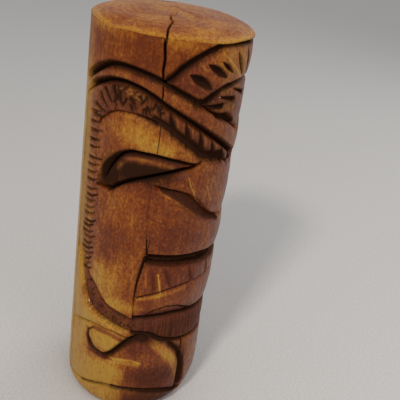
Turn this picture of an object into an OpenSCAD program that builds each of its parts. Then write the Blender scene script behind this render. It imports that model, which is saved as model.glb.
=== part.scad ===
// Carved log figure: a round log with a stacked face, arms and legs cut in low relief.
// The figure faces -Y and stands on z = 0, with the log's axis on Z. Millimetres.
// Places on the log are [turn, height]: turn is degrees from the front, growing towards
// the figure's right hand (-X), and height is millimetres above the base.

/* [Log] */
// Height from the base to the rim of the crown
log_h = 224; // [180:1:300]
// Radius of the round log
log_r = 40; // [40:0.5:50]
// Radius of the uncarved heart that every carved member stands on
heart_r = 31; // [24:0.5:32]
// Rise of the domed crown above its rim
crown_rise = 4; // [1:0.5:8]
// Bevel worn on the crown's rim
rim_bevel = 1.2; // [0.4:0.1:2]
// Rounding of the base's lower edge
foot_round = 6; // [2:0.5:8]

/* [Carving] */
// Depth of the V-grooves that part the carved members
groove_d = 3; // [2.5:0.1:4]
// Half the width of a V-groove
groove_w = 1.6; // [0.8:0.1:2]
// Depth of the step under an overhanging member
under_d = 4.5; // [3:0.1:6]
// Depth of the notches cut across the fringe and the side borders
notch_d = 2; // [1:0.1:3]
// Width of those notches
notch_w = 2.6; // [1.5:0.1:4]

/* [Hidden] */

// The carved edges were laid out on a log of this height, and stretch with log_h.
layout_h = 224;
stretch = log_h / layout_h;
// Degrees between two stations round the log
step = 5;
// The heart ends inside the base and inside the crown.
heart_low = 25 * stretch;
heart_high = 185 * stretch;
// Where the carved members end and the plain back begins
back_turn = 145;
// Flat sides of the circles that round the crown and the foot
fine = 360;
// The cuts at a member's edges, as [depth, width]
no_cut = [0, 1];
v_cut = [groove_d, groove_w];
under_cut = [under_d, 1];

stained = "sienna";
raw_wood = "goldenrod";
dark_wood = "saddlebrown";

// ---- Edges of the carved members, as [turn, height] ----
brow_side = [
    [80, 201.7], [90, 203.4], [105, 204.5], [115, 203.7], [125, 201], [135, 197], [145, 192]
];
crown_edge = concat(
    [
        [0, 219.5], [20, 220.5], [35, 220.5], [45, 218], [55, 214.3], [65, 209], [75, 202.2]
    ],
    brow_side,
    [[180, 188]]
);
brow_top = concat(
    [[0, 174.2], [20, 182.2], [40, 188.2], [50, 192.2], [60, 195.7], [75, 200.2]],
    brow_side
);
crest_low = [
    [0, 202.7], [20, 201.7], [30, 199.9], [40, 196.4], [50, 192.2], [60, 195.7], [75, 200.2]
];
fringe_top = [
    [0, 161.5], [15, 168], [35, 176], [55, 184], [75, 191.2], [85, 194.8], [95, 197],
    [105, 197.7], [115, 196.8], [125, 194.3], [135, 190.8], [145, 185.3]
];
fringe_low = [
    [0, 157.2], [15, 160.5], [35, 164], [40, 164.6], [45, 167.3], [60, 174], [75, 180.5],
    [85, 183], [95, 183.8], [105, 183.4], [115, 181], [125, 175.2]
];
// The eyelid, the eye and the nose run together at 40 degrees, under the fringe.
lid_top = [
    [40, 164.3], [45, 162], [60, 164], [80, 165.8], [90, 165.8], [97, 164.8], [103, 162.3],
    [108, 158.8], [113, 153.8], [117, 148], [120, 144], [125, 140.7]
];
lid_low = [
    [40, 164], [45, 159.2], [55, 157.5], [75, 153.4], [85, 150.9], [95, 147.8], [105, 143.5],
    [110, 141], [120, 141], [125, 140.2]
];
nose_top = concat([[0, 157.2], [15, 160.5], [35, 164]], lid_low);
nose_low = [
    [0, 125], [20, 130], [30, 134.5], [40, 140.5], [50, 145.5], [60, 147.5], [75, 150.2],
    [80, 151.6]
];
mouth_top = [[0, 105.5], [15, 107], [30, 108.5], [45, 109.5], [80, 111]];
tongue_low = [[0, 90.5], [30, 90.5], [50, 89], [60, 87], [80, 82.5]];
chin_top = [
    [0, 66.5], [30, 69], [45, 70.3], [60, 69.5], [70, 68.5], [80, 68.2], [90, 69.7],
    [97, 71.2], [103, 73.2], [110, 78.2], [115, 82.2], [125, 86.2], [135, 93.2], [140, 96.2],
    [145, 98.2]
];
chin_low = [
    [0, 47], [15, 48], [35, 50.3], [55, 55], [65, 58.5], [80, 59], [100, 62], [120, 67],
    [125, 71], [130, 77], [135, 84], [140, 95], [145, 98.2]
];
arm_low = [
    [70, 58.2], [75, 56.5], [80, 54.5], [95, 56.5], [105, 56.5], [115, 55.5], [125, 53],
    [145, 46]
];
hand_low = [
    [75, 56], [80, 52.5], [85, 48.5], [90, 44], [95, 40], [100, 38], [110, 39], [115, 42.5],
    [120, 48], [125, 52.5]
];
leg_top = concat(
    [[30, 49.5], [45, 52.5], [55, 55], [65, 58], [70, 58.2]],
    hand_low,
    [[130, 51.2], [145, 46]]
);
foot_line = [
    [0, 6], [20, 7], [30, 9.8], [40, 13.2], [50, 15.2], [75, 17.2], [85, 17.2], [95, 16.7],
    [105, 14.8], [115, 11.8], [125, 9], [145, 6], [180, 6]
];
// Where a cutting shape passes outside the log, and how far a groove's slope has risen there
clear = 0.5;
outside_r = log_r + 5;
outside_z = groove_w * (outside_r - log_r + groove_d) / groove_d;
// The sphere that domes the crown
dome_r = (log_r * log_r + crown_rise * crown_rise) / (2 * crown_rise);
// Grooves run out towards the plain back.
groove_fade = [[0, 1], [135, 1], [150, 0], [180, 0]];

// ---- Placing and lofting ----
function fold(turn) = turn > 180 ? 360 - turn : abs(turn);
function edge(line, turn) = lookup(fold(turn), line) * stretch;
function spot(turn, r, z) = [-r * sin(turn), -r * cos(turn), z];

// A closed polyhedron through equal loops of points, with a flat cap at each end.
module loft(loops) {
    n = len(loops[0]);
    last = len(loops) - 1;
    walls = [
        for (i = [0 : last - 1], j = [0 : n - 1])
            let (a = i * n + j, b = i * n + (j + 1) % n)
                each [[a, b + n, b], [a, a + n, b + n]]
    ];
    first_cap = [for (j = [0 : n - 1]) j];
    last_cap = [for (j = [n - 1 : -1 : 0]) last * n + j];
    polyhedron(points = [for (loop = loops) each loop], faces = concat(walls, [first_cap], [last_cap]));
}

// The outline of a member where the turn cuts it: heart, lower edge, face and upper edge.
// face is the depth below the log's surface at the foot, middle and head of the face.
function member_loop(turn, low, high, face, low_cut, high_cut) =
    let (
        z0 = edge(low, turn),
        z1 = edge(high, turn),
        w0 = min(low_cut[1], 0.3 * (z1 - z0)),
        w1 = min(high_cut[1], 0.3 * (z1 - z0))
    )
    [
        spot(turn, heart_r, z0),
        spot(turn, log_r - low_cut[0], z0),
        spot(turn, log_r - face[0], z0 + w0),
        spot(turn, log_r - face[1], (z0 + z1) / 2),
        spot(turn, log_r - face[2], z1 - w1),
        spot(turn, log_r - high_cut[0], z1),
        spot(turn, heart_r, z1)
    ];

// A carved member between two edges, from one turn to another. sides is the extra depth
// of its first and last stations, which opens a groove against the member beside it.
module member(from, to, low, high, face, low_cut = v_cut, high_cut = v_cut, sides = [0, 0])
    loft([
        for (turn = [from : step : to])
            let (extra = turn == from ? sides[0] : turn == to ? sides[1] : 0)
                member_loop(turn, low, high, [for (d = face) d + extra], low_cut, high_cut)
    ]);

// A ring round the whole log at a radius and a height; line lifts or lowers it by turn.
function ring(r, z, line = undef, shift = 0) = [
    for (turn = [360 - step : -step : 0])
        spot(turn, r, line == undef ? z : edge(line, turn) + shift)
];
// The foot of a groove that runs out towards the back, where it stays just clear of the log.
function faded_ring(line) = [
    for (turn = [360 - step : -step : 0])
        let (cut = (groove_d + clear) * lookup(fold(turn), groove_fade))
            spot(turn, log_r + clear - cut, edge(line, turn))
];

// A V-shaped notch in the log's surface. tilt turns it in the surface, from level.
module notch(turn, height, long, wide, deep, tilt = 0)
    translate(spot(turn, log_r, height * stretch))
        rotate([0, 0, -turn])
            rotate([0, tilt, 0])
                rotate([0, 90, 0])
                    linear_extrude(long, center = true)
                        polygon([[-wide, -wide], [wide, -wide], [0, deep]]);

module on_left() mirror([1, 0, 0]) children();

// ---- Log ----
module heart()
    color(stained)
        translate([0, 0, heart_low])
            linear_extrude(heart_high - heart_low)
                polygon([
                    for (turn = [0 : step : 360 - step])
                        [-heart_r * sin(turn), -heart_r * cos(turn)]
                ]);

module crown()
    color(raw_wood)
        intersection() {
            rotate_extrude()
                intersection() {
                    translate([0, log_h + crown_rise - dome_r])
                        circle(dome_r, $fn = fine);
                    polygon([
                        [0, 0], [log_r, 0], [log_r, log_h - rim_bevel],
                        [log_r - 2 * rim_bevel, log_h + crown_rise], [0, log_h + crown_rise + 1]
                    ]);
                }
            loft([
                ring(heart_r, heart_high),
                ring(heart_r, 0, crown_edge),
                faded_ring(crown_edge),
                ring(outside_r, 0, crown_edge, outside_z),
                ring(outside_r, log_h + crown_rise + outside_z)
            ]);
        }

module base()
    color(raw_wood)
        intersection() {
            rotate_extrude()
                union() {
                    square([log_r - foot_round, heart_low]);
                    translate([0, foot_round])
                        square([log_r, heart_low]);
                    translate([log_r - foot_round, foot_round])
                        circle(foot_round, $fn = fine / 4);
                }
            loft([
                ring(outside_r, -outside_z),
                ring(outside_r, 0, foot_line, -outside_z),
                faded_ring(foot_line),
                ring(heart_r, 0, foot_line),
                ring(heart_r, heart_low)
            ]);
        }

module back_panel()
    color(raw_wood)
        member(back_turn, 360 - back_turn, foot_line, crown_edge, [0, 0, 0], no_cut, no_cut);

// ---- Head ----
module crest()
    color(stained)
        difference() {
            member(-75, 75, crest_low, crown_edge, [0.8, 0, 0.8]);
            for (side = [-1, 1]) {
                notch(side * 52, 203, 12, 2.2, notch_d, side * 18);
                notch(side * 40, 208, 11, 2.2, notch_d, side * 24);
                notch(side * 18, 210.5, 9, 2.2, notch_d, side * 60);
            }
        }

module forehead_boss()
    color(dark_wood)
        difference() {
            member(-45, 45, brow_top, crest_low, [1.2, 0.6, 1.2]);
            for (side = [-1, 1], row = [0, 1])
                notch(side * (20 - 4 * row), 194 - 7 * row, 14, 2, notch_d, side * 8);
        }

module brow_band()
    color(stained)
        member(0, back_turn, fringe_top, brow_top, [0.6, 0, 0.6]);

module fringe()
    color(dark_wood)
        difference() {
            member(0, 125, fringe_low, fringe_top, [1.2, 1, 1.2], under_cut);
            for (turn = [12 : 9 : 120])
                notch(turn, (lookup(turn, fringe_low) + lookup(turn, fringe_top)) / 2,
                    12, notch_w, notch_d + 1, turn < 95 ? 65 : 150 - turn);
        }

module side_border()
    color(dark_wood)
        difference() {
            member(125, back_turn, chin_top, fringe_top, [0.8, 0.6, 0.8], sides = [1.5, 0]);
            for (height = [104 : 6.5 : 182])
                notch(136, height, 12, notch_w, notch_d, 8);
        }

module eyelid()
    color(raw_wood)
        member(40, 125, lid_top, fringe_low, [1.6, 1.2, 2], v_cut, under_cut, [1.2, 1]);

module eye()
    color(dark_wood)
        member(40, 125, lid_low, lid_top, [5, 3.8, 3], [under_d + 1, 1], v_cut);

module cheek()
    color(stained)
        member(80, 125, chin_top, lid_low, [0.8, 0, 1.2], v_cut, v_cut, [1.2, 1.2]);

module nose()
    color(stained)
        member(-80, 80, nose_low, nose_top, [1.6, 0.6, 1.6], under_cut, v_cut);

module upper_lip()
    color(stained)
        member(-80, 80, mouth_top, nose_low, [0.8, 0.2, 1.2], [2, 1.5], v_cut);

module tongue()
    color(dark_wood)
        difference() {
            member(-80, 80, tongue_low, mouth_top, [1, 1.2, 6], [2, 1], [7, 1], [1.5, 1.5]);
            for (side = [-1, 1]) {
                notch(side * 60, 94, 14, 2, notch_d + 2, side * 80);
                notch(side * 30, 95, 14, 2, notch_d + 2, 90);
            }
        }

module lower_lip()
    color(stained)
        member(-80, 80, chin_top, tongue_low, [2.5, 0.6, 0.8], under_cut, [2, 1], [1.5, 1.5]);

module chin_band()
    color(dark_wood)
        member(-140, 140, chin_low, chin_top, [2.4, 2.2, 3], v_cut, under_cut);

// ---- Body ----
module arm()
    color(raw_wood)
        member(70, back_turn, arm_low, chin_low, [0.4, 0, 0.4]);

module hand()
    color(raw_wood)
        member(75, 125, hand_low, arm_low, [0.8, 0.4, 1.5], v_cut, v_cut, [1.5, 1.5]);

module leg()
    color(stained)
        member(30, back_turn, foot_line, leg_top, [0.4, 0.2, 1.6], v_cut, v_cut, [2.5, 0]);

module loin_panel()
    color(stained)
        member(-30, 30, foot_line, chin_low, [0.4, 0.6, 1.4], v_cut, v_cut, [2.5, 2.5]);

heart();
crown();
crest();
forehead_boss();
brow_band();  // brow_band_right
on_left() brow_band();  // brow_band_left
fringe();  // fringe_right
on_left() fringe();  // fringe_left
side_border();  // side_border_right
on_left() side_border();  // side_border_left
eyelid();  // eyelid_right
on_left() eyelid();  // eyelid_left
eye();  // eye_right
on_left() eye();  // eye_left
cheek();  // cheek_right
on_left() cheek();  // cheek_left
nose();
upper_lip();
tongue();
lower_lip();
chin_band();
arm();  // arm_right
on_left() arm();  // arm_left
hand();  // hand_right
on_left() hand();  // hand_left
leg();  // leg_right
on_left() leg();  // leg_left
loin_panel();
base();
back_panel();
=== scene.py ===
"""A varnished tiki figure, carved in one log. Its carved members stand for the CAD nodes.

Places on the log are (turn, height): turn is degrees from the front centreline, growing
towards the figure's right hand (-X), and height is millimetres above the base. Depth is
millimetres below the surface of the round log.
"""
import math
from collections import namedtuple

import bpy
import numpy as np
from mathutils import Matrix, Vector


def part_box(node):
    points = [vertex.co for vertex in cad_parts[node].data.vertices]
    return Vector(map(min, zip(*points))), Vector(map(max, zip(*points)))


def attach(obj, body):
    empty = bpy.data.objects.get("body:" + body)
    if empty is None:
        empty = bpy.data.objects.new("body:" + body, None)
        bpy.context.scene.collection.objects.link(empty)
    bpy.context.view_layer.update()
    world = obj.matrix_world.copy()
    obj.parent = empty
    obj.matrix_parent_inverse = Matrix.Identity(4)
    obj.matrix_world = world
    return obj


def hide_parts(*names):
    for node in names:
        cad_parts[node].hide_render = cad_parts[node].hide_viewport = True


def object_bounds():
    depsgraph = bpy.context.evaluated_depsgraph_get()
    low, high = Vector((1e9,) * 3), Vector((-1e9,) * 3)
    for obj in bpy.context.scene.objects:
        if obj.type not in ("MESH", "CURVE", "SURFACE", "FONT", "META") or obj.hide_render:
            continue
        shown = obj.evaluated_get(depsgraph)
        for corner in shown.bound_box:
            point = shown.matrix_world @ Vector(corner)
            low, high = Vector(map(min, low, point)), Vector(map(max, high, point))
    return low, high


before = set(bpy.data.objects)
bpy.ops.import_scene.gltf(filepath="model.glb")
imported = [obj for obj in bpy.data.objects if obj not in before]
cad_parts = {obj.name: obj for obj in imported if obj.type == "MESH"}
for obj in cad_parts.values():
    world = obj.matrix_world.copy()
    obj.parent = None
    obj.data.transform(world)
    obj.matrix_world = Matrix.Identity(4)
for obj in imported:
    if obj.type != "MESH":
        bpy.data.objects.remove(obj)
cad_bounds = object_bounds()

# ---- Sizes, in millimetres ----
MM = 0.001
LOG_R = cad_bounds[1].x / MM
TOP = cad_bounds[1].z / MM
CROWN_RISE = 4.0
RIM_Z = TOP - CROWN_RISE
HEART_R = 31.0
HEART_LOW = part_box("heart")[0].z / MM
HEART_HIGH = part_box("heart")[1].z / MM
BACK_TURN = 145
RIM_ROUND = 2.0

# ---- Mesh fineness ----
FINE = 0.45
STEPS_PER_5_DEG = 8
CRACK_TURNS = (71, 81)
CRACK_TURN = 78.5
CRACK_STEP = 0.2

random = np.random.default_rng(7)

# ---- Edges of the members, as (turn, height) ----
BROW_SIDE = [
    (80, 201.7), (90, 203.4), (105, 204.5), (115, 203.7), (125, 201), (135, 197), (145, 192),
]
CROWN_EDGE = [
    (0, 219.5), (20, 220.5), (35, 220.5), (45, 218), (55, 214.3), (65, 209), (75, 202.2),
    *BROW_SIDE, (180, 188),
]
BROW_TOP = [
    (0, 174.2), (20, 182.2), (40, 188.2), (50, 192.2), (60, 195.7), (75, 200.2), *BROW_SIDE,
]
CREST_LOW = [
    (0, 202.7), (20, 201.7), (30, 199.9), (40, 196.4), (50, 192.2), (60, 195.7), (75, 200.2),
]
FRINGE_TOP = [
    (0, 161.5), (15, 168), (35, 176), (55, 184), (75, 191.2), (85, 194.8), (95, 197),
    (105, 197.7), (115, 196.8), (125, 194.3), (135, 190.8), (145, 185.3),
]
FRINGE_LOW = [
    (0, 157.2), (15, 160.5), (35, 164), (40, 164.6), (45, 167.3), (60, 174), (75, 180.5),
    (85, 183), (95, 183.8), (105, 183.4), (115, 181), (125, 175.2),
]
LID_TOP = [
    (40, 164.3), (45, 162), (60, 164), (80, 165.8), (90, 165.8), (97, 164.8), (103, 162.3),
    (108, 158.8), (113, 153.8), (117, 148), (120, 144), (125, 140.7),
]
LID_LOW = [
    (40, 164), (45, 159.2), (55, 157.5), (75, 153.4), (85, 150.9), (95, 147.8), (105, 143.5),
    (110, 141), (120, 141), (125, 140.2),
]
NOSE_TOP = [(0, 157.2), (15, 160.5), (35, 164), *LID_LOW]
NOSE_LOW = [
    (0, 125), (20, 130), (30, 134.5), (40, 140.5), (50, 145.5), (60, 147.5), (75, 150.2),
    (80, 151.6),
]
MOUTH_TOP = [(0, 105.5), (15, 107), (30, 108.5), (45, 109.5), (80, 111)]
TONGUE_LOW = [(0, 90.5), (30, 90.5), (50, 89), (60, 87), (80, 82.5)]
CHIN_TOP = [
    (0, 66.5), (30, 69), (45, 70.3), (60, 69.5), (70, 68.5), (80, 68.2), (90, 69.7),
    (97, 71.2), (103, 73.2), (110, 78.2), (115, 82.2), (125, 86.2), (135, 93.2), (140, 96.2),
    (145, 98.2),
]
CHIN_LOW = [
    (0, 47), (15, 48), (35, 50.3), (55, 55), (65, 58.5), (80, 59), (100, 62), (120, 67),
    (125, 71), (130, 77), (135, 84), (140, 95), (145, 98.2),
]
ARM_LOW = [
    (70, 58.2), (75, 56.5), (80, 54.5), (95, 56.5), (105, 56.5), (115, 55.5), (125, 53),
    (145, 46),
]
HAND_LOW = [
    (75, 56), (80, 52.5), (85, 48.5), (90, 44), (95, 40), (100, 38), (110, 39), (115, 42.5),
    (120, 48), (125, 52.5),
]
LEG_TOP = [
    (30, 49.5), (45, 52.5), (55, 55), (65, 58), (70, 58.2), *HAND_LOW, (130, 51.2), (145, 46),
]
FOOT_LINE = [
    (0, 6), (20, 7), (30, 9.8), (40, 13.2), (50, 15.2), (75, 17.2), (85, 17.2), (95, 16.7),
    (105, 14.8), (115, 11.8), (125, 9), (145, 6), (180, 6),
]


def fold(turn):
    """Degrees from the front, whichever way round the log."""
    turn = np.abs(turn) % 360
    return np.minimum(turn, 360 - turn)


def follow(line, turn):
    """The height of an edge at each turn: a smooth curve that never overshoots its points."""
    x, y = np.array(line, float).T
    gaps, slopes = np.diff(x), np.diff(y) / np.diff(x)
    tangent = np.zeros(len(x))
    tangent[0], tangent[-1] = slopes[0], slopes[-1]
    turning = slopes[:-1] * slopes[1:] > 0
    w1, w2 = 2 * gaps[1:] + gaps[:-1], gaps[1:] + 2 * gaps[:-1]
    safe = np.where(turning, slopes[:-1], 1), np.where(turning, slopes[1:], 1)
    tangent[1:-1] = np.where(turning, (w1 + w2) / (w1 / safe[0] + w2 / safe[1]), 0)
    at = np.clip(fold(turn), x[0], x[-1])
    i = np.clip(np.searchsorted(x, at, side="right") - 1, 0, len(x) - 2)
    t = (at - x[i]) / gaps[i]
    return (
        y[i] * (1 + 2 * t) * (1 - t) ** 2 + y[i + 1] * t * t * (3 - 2 * t)
        + gaps[i] * (tangent[i] * t * (1 - t) ** 2 - tangent[i + 1] * t * t * (1 - t))
    )


# ---- Gouge cuts ----
# A cut follows a path of (turn, height) points. Its width is given at each end, and belly is
# what the middle adds to it. dark is the stain it holds together with painted shade, and tone
# how much redder (+) or paler (-) the wood is along it. A low power gives a flat-bottomed cut,
# a high one a V.
Cut = namedtuple("Cut", "path width belly depth dark tone power one_sided")
ARC = LOG_R * math.pi / 180


def cut(path, width, depth, dark=1.0, belly=0.0, tone=0.0, power=1.15, one_sided=False):
    """One gouge cut; a single width holds from end to end."""
    width = width if isinstance(width, tuple) else (width, width)
    return Cut(np.array(path, float), width, belly, depth, dark, tone, power, one_sided)


def groove(line, first, last, width, depth, dark=1.0, drop=0.0, power=0.9):
    """A gouged line along an edge of the members, drop millimetres below it."""
    turns = np.linspace(first, last, max(3, int(abs(last - first) / 4)))
    return cut(np.stack([turns, follow(line, turns) - drop], 1), width, depth, dark, power=power)


def stroke(path, width, tone):
    """Wood along a path that is paler (-) or stained redder (+), with no cut.
    Some pale ones are painted highlights on lit ridges, and some red ones painted shadow.
    """
    return cut(path, width, 0, 0, tone=tone)


def jitter(amount):
    return random.uniform(-amount, amount)


def edge_grooves():
    """The V-gouged lines between the members."""
    yield groove(BROW_TOP, 50, 142, (4.2, 4.6), 3.4, drop=-0.3)
    yield groove(CROWN_EDGE, 2, 74, (3.8, 5.4), 3.6, 0.95)
    yield groove(CREST_LOW, 2, 30, (3.0, 4.0), 3.2, 0.9, drop=0.4)
    yield groove(CREST_LOW, 28, 52, (4.0, 5.8), 3.6, 0.95, drop=-0.4)
    yield groove(FRINGE_TOP, 0, 136, (3.6, 4.0), 3.4)
    # The broad dark in this groove under the fringe's teeth is painted shadow.
    yield groove(FRINGE_LOW, 24, 80, (8.4, 4.6), 4.2, 1.0, drop=-1.8)
    yield groove(FRINGE_LOW, 78, 92, (4.0, 2.0), 2.6, 0.9, drop=-0.2)
    yield groove(FRINGE_LOW, 90, 122, (2.0, 1.2), 0.8, 0.3)
    yield groove(LID_TOP, 43, 118, (2.4, 5.4), 4.2, 0.95, drop=0.6, power=0.7)
    yield groove(LID_LOW, 46, 110, (1.4, 3.0), 2.4, 0.9, drop=-0.8)
    yield groove(NOSE_LOW, 20, 64, (2.4, 0.8), 1.6, 0.5)
    yield groove(CHIN_TOP, 0, 84, (3.0, 1.8), 3.6)
    yield groove(CHIN_TOP, 84, 126, (3.2, 2.2), 2.6, 1.0)
    yield groove(CHIN_LOW, 0, 78, (3.4, 3.0), 3.0, 0.9)
    yield groove(CHIN_LOW, 78, 120, (1.2, 0.8), 0.7, 0.3)
    yield groove(ARM_LOW, 76, 104, (2.4, 1.5), 1.8, 0.7)
    yield groove(ARM_LOW, 104, 131, (1.6, 1.2), 0.9, 0.45)
    yield groove(HAND_LOW, 68, 98, (6.2, 4.0), 3.8)
    yield groove(HAND_LOW, 96, 117, (4.4, 3.6), 2.8, 0.9, drop=0.6)
    yield groove(FOOT_LINE, 22, 90, (3.6, 3.2), 2.6, 0.9)
    yield groove(FOOT_LINE, 90, 122, (2.6, 1.2), 1.6, 0.6)
    yield groove(MOUTH_TOP, 0, 72.5, 1.4, 2.0, 0.9, drop=0.3)
    # The dark inside the mouth under the upper lip is painted shade.
    yield groove(MOUTH_TOP, 0, 73, (4.4, 3.6), 7.0, drop=5.4)
    yield groove(TONGUE_LOW, 34, 77, (0.9, 1.2), 1.4, 0.85)


def border_notches():
    """Short slanting cuts down the strip between the face and the back."""
    heights = [178, 172.5, 168.5, 164, 159.5, 154.5, 150, 145.5, 141.5, 137, 132.8, 129]
    heights += list(np.arange(125, 86, -3.4))
    for height in heights:
        z = height + jitter(0.6)
        back = 134 + jitter(1.5) - max(0, 105 - z) * 0.12
        rise = 1.2 + 0.03 * (180 - z) + jitter(0.5)
        long = 13.5 + jitter(2.0)
        yield cut([(back, z - 0.8), (back - 0.5 * long, z), (back - long, z + rise)],
                  (2.4 + jitter(0.6), 0.9), 1.8 + jitter(0.6), 0.72 + jitter(0.2))
        yield stroke([(back, z + 0.9), (back - 6, z + 1.5)], 0.8, -0.35)


def fringe_cuts():
    """Teeth along the notched band, and wedges fanned round the eye's outer corner."""
    for turn in (11, 22, 33.5, 45, 56.5, 68.5):
        low, high = follow(FRINGE_LOW, turn), follow(FRINGE_TOP, turn)
        yield cut([(turn - 2.5, low), (turn, (low + high) / 2), (turn + 1.5, high - 1.5)],
                  (5.6, 1.0), 3.4, 1.1, belly=0.6)
        yield stroke([(turn - 4.5, low + 3.5), (turn - 3.5, high - 3)], 1.2, -0.3)
        yield stroke([(turn + 5, low + 4), (turn + 4, high - 3)], 1.6, 0.15)
    fan = [(131, 176.5, 121.5, 176), (130, 182, 120, 180), (126.5, 187.5, 117.5, 183.5),
           (120.5, 191.5, 113.5, 186), (112, 194, 108.5, 188)]
    for outer_turn, outer_z, inner_turn, inner_z in fan:
        yield cut([(outer_turn + jitter(1), outer_z), (inner_turn, inner_z + jitter(0.8))],
                  (3.0 + jitter(0.6), 1.2), 2.4, 0.85)
    for _ in range(34):
        turn = random.uniform(74, 113)
        low, high = follow(FRINGE_LOW, turn), follow(FRINGE_TOP, turn)
        z = random.uniform(low + 1.5, high - 1.5)
        lean, rise = jitter(2.0), random.uniform(0.8, 2.2)
        yield cut([(turn - lean, z - rise), (turn + lean, z + rise)], (1.2, 2.2 + jitter(0.6)),
                  random.uniform(0.8, 1.8), random.uniform(0.4, 0.9))
    for _ in range(26):
        turn = random.uniform(80, 110)
        z = follow(FRINGE_TOP, turn) - random.uniform(1.5, 6)
        yield stroke([(turn - 1, z), (turn + 1, z + jitter(1.0))], 1.3, -random.uniform(0.15, 0.4))


def band_striations():
    """Fine cuts across the band under the chin, which is pitted towards its ends."""
    for turn in np.arange(2, 80, 2.1):
        at = turn + jitter(0.8)
        low, high = follow(CHIN_LOW, at), follow(CHIN_TOP, at)
        lean = jitter(1.4)
        yield cut([(at - lean, low + 0.8), (at + lean, high - 1.5)], 1.1 + jitter(0.3),
                  0.5 + jitter(0.2), random.uniform(0.1, 0.5), tone=jitter(0.2))
    for turn in np.arange(84, 134, 2.8):
        at = turn + jitter(0.8)
        low = follow(CHIN_LOW, at)
        yield cut([(at + 2.2, low - 0.8), (at - 1.5, low + 1.8)], (0.8, 1.6), 0.8,
                  random.uniform(0.3, 0.8))
    for _ in range(150):
        turn = random.uniform(76, 126)
        z = random.uniform(follow(CHIN_LOW, turn) + 0.6, follow(CHIN_TOP, turn) - 0.8)
        yield cut([(turn, z - 0.5), (turn + jitter(1.0), z + 0.5)], random.uniform(0.8, 1.6),
                  random.uniform(0.3, 0.9), random.uniform(0.2, 1.0), tone=-random.uniform(0, 0.4))


def crest_cuts():
    """Leaf-shaped cuts in the raised crest, and the slashes under it."""
    yield cut([(60.5, 206.3), (52, 203.6), (43.5, 199.8)], 0.8, 3.2, 1.5, belly=4.0, power=0.8)
    yield cut([(48.5, 211.3), (41, 208.6), (32, 205)], 0.8, 2.8, 1.4, belly=3.2, power=0.8)
    yield cut([(38, 212.5), (26, 207)], 0.6, 2.0, 1.0, belly=2.0, power=0.8)
    yield cut([(23, 216), (13, 205)], 0.8, 2.2, 0.9, belly=2.2, power=0.8)
    yield cut([(9, 217), (4, 206)], 0.8, 2.0, 0.9, belly=2.0, power=0.8)
    yield cut([(46, 191.5), (31, 191)], (2.0, 3.8), 3.2)
    yield cut([(33, 195.4), (19, 193.5)], (1.5, 3.4), 3.0)
    yield cut([(36, 186), (25, 185), (12, 180.5)], 1.5, 3.6, belly=4.0, power=0.8)
    yield cut([(20, 198.5), (5, 195)], (1.4, 3.0), 2.6)
    yield cut([(44, 196), (36, 198), (24, 198.5)], 2.0, 1.4, 0.2, belly=2.4, power=0.4, tone=-0.3)
    yield cut([(40, 188.5), (28, 190.5), (14, 189)], 2.0, 1.2, 0.1, belly=3, power=0.4, tone=-0.3)
    yield stroke([(60, 203), (52, 200.6), (46, 197.8)], 1.0, -0.35)
    yield stroke([(53, 210.5), (49, 208.3)], 1.4, -0.3)
    yield stroke([(70, 203.5), (50, 199), (40, 199)], 6, 0.2)
    for row in range(8):
        yield stroke([(38 - 2 * row, 216.5 - row), (24 - 2 * row, 208.5 - row)], 0.9,
                     -0.35 + jitter(0.2))


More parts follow.
